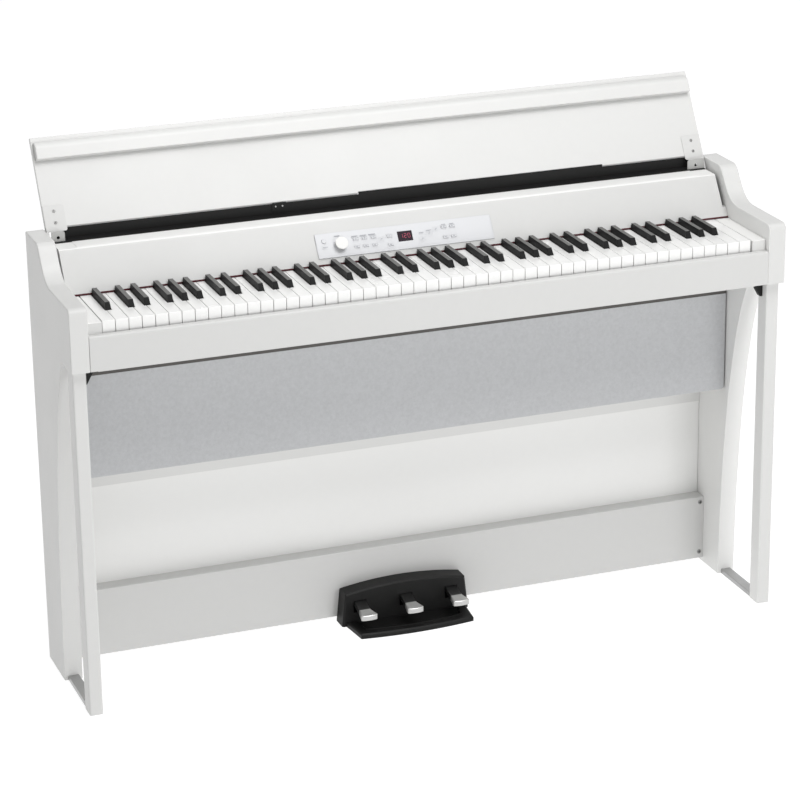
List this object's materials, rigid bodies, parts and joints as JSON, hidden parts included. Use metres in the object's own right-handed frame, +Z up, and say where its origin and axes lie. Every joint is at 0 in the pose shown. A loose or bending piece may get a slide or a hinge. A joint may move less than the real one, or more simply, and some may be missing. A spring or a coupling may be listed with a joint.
{
  "type": "digital piano on stand",
  "caption": "White console digital piano on a panel stand with open lid, full keyboard, sloping control panel, cloth speaker front and three pedals.",
  "frame": {"origin": "on the floor, under the middle of the overall box with the lid open", "axes": "+X to the player's right along the keyboard, +Y from the player towards the wall, +Z up"},
  "size_m": [1.346, 0.3704, 0.9637],
  "materials": {
    "white_board": "satin white lacquer on board",
    "white_key": "light gloss",
    "black_key": "satin black",
    "felt": "dark red felt",
    "grille_cloth": "fine grey cloth",
    "bar_steel": "grey steel",
    "bracket_paint": "pale painted steel",
    "black_plastic": "satin black",
    "chrome": "polished",
    "plate": "cool white",
    "display": "dark window",
    "circuit": "green circuit board",
    "speaker_metal": "black",
    "screw_steel": "zinc plated"
  },
  "bodies": {
    "stand_and_case": {"side_panel_right": "white_board", "side_panel_left": "white_board", "front_legs": "white_board", "foot_bars": "bar_steel", "leg_brackets": "black_plastic", "back_board": "white_board", "pedal_board": "white_board", "key_bed": "white_board", "key_slip": "white_board", "key_blocks": "white_board", "key_rails": "black_plastic", "felt_strip": "felt", "panel_housing": "white_board", "rear_cover": "white_board", "top_strip": "black_plastic", "control_plate": "plate", "display_window": "display", "control_board": "circuit", "lid_pivot_pins": "bar_steel", "speaker_grille": "grille_cloth", "speaker_baffle": "white_board", "speaker_box_floor": "white_board", "woofers": "speaker_metal", "tweeters": "speaker_metal", "pedal_case": "black_plastic", "pedal_shaft": "bar_steel", "pedal_board_screws": "screw_steel"},
    "lid": {"lid_board": "white_board", "lid_nose": "white_board", "lid_arms": "bracket_paint", "lid_screws": "screw_steel"},
    "keys_a": {"keys_a": "white_key"},
    "keys_a_sharp": {"keys_a_sharp": "black_key"},
    "keys_b": {"keys_b": "white_key"},
    "keys_c": {"keys_c": "white_key"},
    "keys_c_sharp": {"keys_c_sharp": "black_key"},
    "keys_d": {"keys_d": "white_key"},
    "keys_d_sharp": {"keys_d_sharp": "black_key"},
    "keys_e": {"keys_e": "white_key"},
    "keys_f": {"keys_f": "white_key"},
    "keys_f_sharp": {"keys_f_sharp": "black_key"},
    "keys_g": {"keys_g": "white_key"},
    "keys_g_sharp": {"keys_g_sharp": "black_key"},
    "pedal_left": {"pedal_left": "chrome"},
    "pedal_middle": {"pedal_middle": "chrome"},
    "pedal_right": {"pedal_right": "chrome"},
    "volume_knob": {"volume_knob": "plate"},
    "power_button": {"power_button": "plate"},
    "button_left_upper_1": {"button_left_upper_1": "plate"},
    "button_left_upper_2": {"button_left_upper_2": "plate"},
    "button_left_upper_3": {"button_left_upper_3": "plate"},
    "button_left_lower_1": {"button_left_lower_1": "plate"},
    "button_left_lower_2": {"button_left_lower_2": "plate"},
    "button_left_lower_3": {"button_left_lower_3": "plate"},
    "button_middle_upper": {"button_middle_upper": "plate"},
    "button_middle_lower": {"button_middle_lower": "plate"},
    "button_right_upper_1": {"button_right_upper_1": "plate"},
    "button_right_upper_2": {"button_right_upper_2": "plate"},
    "button_right_lower_1": {"button_right_lower_1": "plate"},
    "button_right_lower_2": {"button_right_lower_2": "plate"}
  },
  "joints": [
    {"name": "lid_hinge", "type": "hinge", "parent": "stand_and_case", "child": "lid", "pos_m": [0, 0.05984, 0.754], "axis": [1, 0, 0], "range_deg": [0, 120]},
    {"name": "keys_a_press", "type": "hinge", "parent": "stand_and_case", "child": "keys_a", "pos_m": [0, 0.05254, 0.704], "axis": [1, 0, 0], "range_deg": [0, 2.6], "stiffness_Nm_per_rad": 8, "springref_deg": -6.88},
    {"name": "keys_a_sharp_press", "type": "hinge", "parent": "stand_and_case", "child": "keys_a_sharp", "pos_m": [0, 0.05254, 0.704], "axis": [1, 0, 0], "range_deg": [0, 2.6], "stiffness_Nm_per_rad": 8, "springref_deg": -6.88},
    {"name": "keys_b_press", "type": "hinge", "parent": "stand_and_case", "child": "keys_b", "pos_m": [0, 0.05254, 0.704], "axis": [1, 0, 0], "range_deg": [0, 2.6], "stiffness_Nm_per_rad": 8, "springref_deg": -6.88},
    {"name": "keys_c_press", "type": "hinge", "parent": "stand_and_case", "child": "keys_c", "pos_m": [0, 0.05254, 0.704], "axis": [1, 0, 0], "range_deg": [0, 2.6], "stiffness_Nm_per_rad": 8, "springref_deg": -6.88},
    {"name": "keys_c_sharp_press", "type": "hinge", "parent": "stand_and_case", "child": "keys_c_sharp", "pos_m": [0, 0.05254, 0.704], "axis": [1, 0, 0], "range_deg": [0, 2.6], "stiffness_Nm_per_rad": 8, "springref_deg": -6.88},
    {"name": "keys_d_press", "type": "hinge", "parent": "stand_and_case", "child": "keys_d", "pos_m": [0, 0.05254, 0.704], "axis": [1, 0, 0], "range_deg": [0, 2.6], "stiffness_Nm_per_rad": 8, "springref_deg": -6.88},
    {"name": "keys_d_sharp_press", "type": "hinge", "parent": "stand_and_case", "child": "keys_d_sharp", "pos_m": [0, 0.05254, 0.704], "axis": [1, 0, 0], "range_deg": [0, 2.6], "stiffness_Nm_per_rad": 8, "springref_deg": -6.88},
    {"name": "keys_e_press", "type": "hinge", "parent": "stand_and_case", "child": "keys_e", "pos_m": [0, 0.05254, 0.704], "axis": [1, 0, 0], "range_deg": [0, 2.6], "stiffness_Nm_per_rad": 8, "springref_deg": -6.88},
    {"name": "keys_f_press", "type": "hinge", "parent": "stand_and_case", "child": "keys_f", "pos_m": [0, 0.05254, 0.704], "axis": [1, 0, 0], "range_deg": [0, 2.6], "stiffness_Nm_per_rad": 8, "springref_deg": -6.88},
    {"name": "keys_f_sharp_press", "type": "hinge", "parent": "stand_and_case", "child": "keys_f_sharp", "pos_m": [0, 0.05254, 0.704], "axis": [1, 0, 0], "range_deg": [0, 2.6], "stiffness_Nm_per_rad": 8, "springref_deg": -6.88},
    {"name": "keys_g_press", "type": "hinge", "parent": "stand_and_case", "child": "keys_g", "pos_m": [0, 0.05254, 0.704], "axis": [1, 0, 0], "range_deg": [0, 2.6], "stiffness_Nm_per_rad": 8, "springref_deg": -6.88},
    {"name": "keys_g_sharp_press", "type": "hinge", "parent": "stand_and_case", "child": "keys_g_sharp", "pos_m": [0, 0.05254, 0.704], "axis": [1, 0, 0], "range_deg": [0, 2.6], "stiffness_Nm_per_rad": 8, "springref_deg": -6.88},
    {"name": "pedal_left_press", "type": "hinge", "parent": "stand_and_case", "child": "pedal_left", "pos_m": [-0.092, 0.04254, 0.04852], "axis": [1, 0, 0], "range_deg": [0, 9], "stiffness_Nm_per_rad": 10, "springref_deg": -1.72},
    {"name": "pedal_middle_press", "type": "hinge", "parent": "stand_and_case", "child": "pedal_middle", "pos_m": [0, 0.04254, 0.04852], "axis": [1, 0, 0], "range_deg": [0, 9], "stiffness_Nm_per_rad": 10, "springref_deg": -1.72},
    {"name": "pedal_right_press", "type": "hinge", "parent": "stand_and_case", "child": "pedal_right", "pos_m": [0.092, 0.04254, 0.04852], "axis": [1, 0, 0], "range_deg": [0, 9], "stiffness_Nm_per_rad": 10, "springref_deg": -1.72},
    {"name": "volume_turn", "type": "hinge", "parent": "stand_and_case", "child": "volume_knob", "pos_m": [-0.1235, 0.00102, 0.7575], "axis": [0, -0.8346, 0.5508], "range_deg": [-150, 150]},
    {"name": "power_button_press", "type": "slide", "parent": "stand_and_case", "child": "power_button", "axis": [0, 0.8346, -0.5508], "range_m": [0, 0.0012], "stiffness_N_per_m": 500, "springref_m": -0.002},
    {"name": "button_left_upper_1_press", "type": "slide", "parent": "stand_and_case", "child": "button_left_upper_1", "axis": [0, 0.8346, -0.5508], "range_m": [0, 0.0012], "stiffness_N_per_m": 500, "springref_m": -0.002},
    {"name": "button_left_upper_2_press", "type": "slide", "parent": "stand_and_case", "child": "button_left_upper_2", "axis": [0, 0.8346, -0.5508], "range_m": [0, 0.0012], "stiffness_N_per_m": 500, "springref_m": -0.002},
    {"name": "button_left_upper_3_press", "type": "slide", "parent": "stand_and_case", "child": "button_left_upper_3", "axis": [0, 0.8346, -0.5508], "range_m": [0, 0.0012], "stiffness_N_per_m": 500, "springref_m": -0.002},
    {"name": "button_left_lower_1_press", "type": "slide", "parent": "stand_and_case", "child": "button_left_lower_1", "axis": [0, 0.8346, -0.5508], "range_m": [0, 0.0012], "stiffness_N_per_m": 500, "springref_m": -0.002},
    {"name": "button_left_lower_2_press", "type": "slide", "parent": "stand_and_case", "child": "button_left_lower_2", "axis": [0, 0.8346, -0.5508], "range_m": [0, 0.0012], "stiffness_N_per_m": 500, "springref_m": -0.002},
    {"name": "button_left_lower_3_press", "type": "slide", "parent": "stand_and_case", "child": "button_left_lower_3", "axis": [0, 0.8346, -0.5508], "range_m": [0, 0.0012], "stiffness_N_per_m": 500, "springref_m": -0.002},
    {"name": "button_middle_upper_press", "type": "slide", "parent": "stand_and_case", "child": "button_middle_upper", "axis": [0, 0.8346, -0.5508], "range_m": [0, 0.0012], "stiffness_N_per_m": 500, "springref_m": -0.002},
    {"name": "button_middle_lower_press", "type": "slide", "parent": "stand_and_case", "child": "button_middle_lower", "axis": [0, 0.8346, -0.5508], "range_m": [0, 0.0012], "stiffness_N_per_m": 500, "springref_m": -0.002},
    {"name": "button_right_upper_1_press", "type": "slide", "parent": "stand_and_case", "child": "button_right_upper_1", "axis": [0, 0.8346, -0.5508], "range_m": [0, 0.0012], "stiffness_N_per_m": 500, "springref_m": -0.002},
    {"name": "button_right_upper_2_press", "type": "slide", "parent": "stand_and_case", "child": "button_right_upper_2", "axis": [0, 0.8346, -0.5508], "range_m": [0, 0.0012], "stiffness_N_per_m": 500, "springref_m": -0.002},
    {"name": "button_right_lower_1_press", "type": "slide", "parent": "stand_and_case", "child": "button_right_lower_1", "axis": [0, 0.8346, -0.5508], "range_m": [0, 0.0012], "stiffness_N_per_m": 500, "springref_m": -0.002},
    {"name": "button_right_lower_2_press", "type": "slide", "parent": "stand_and_case", "child": "button_right_lower_2", "axis": [0, 0.8346, -0.5508], "range_m": [0, 0.0012], "stiffness_N_per_m": 500, "springref_m": -0.002}
  ]
}
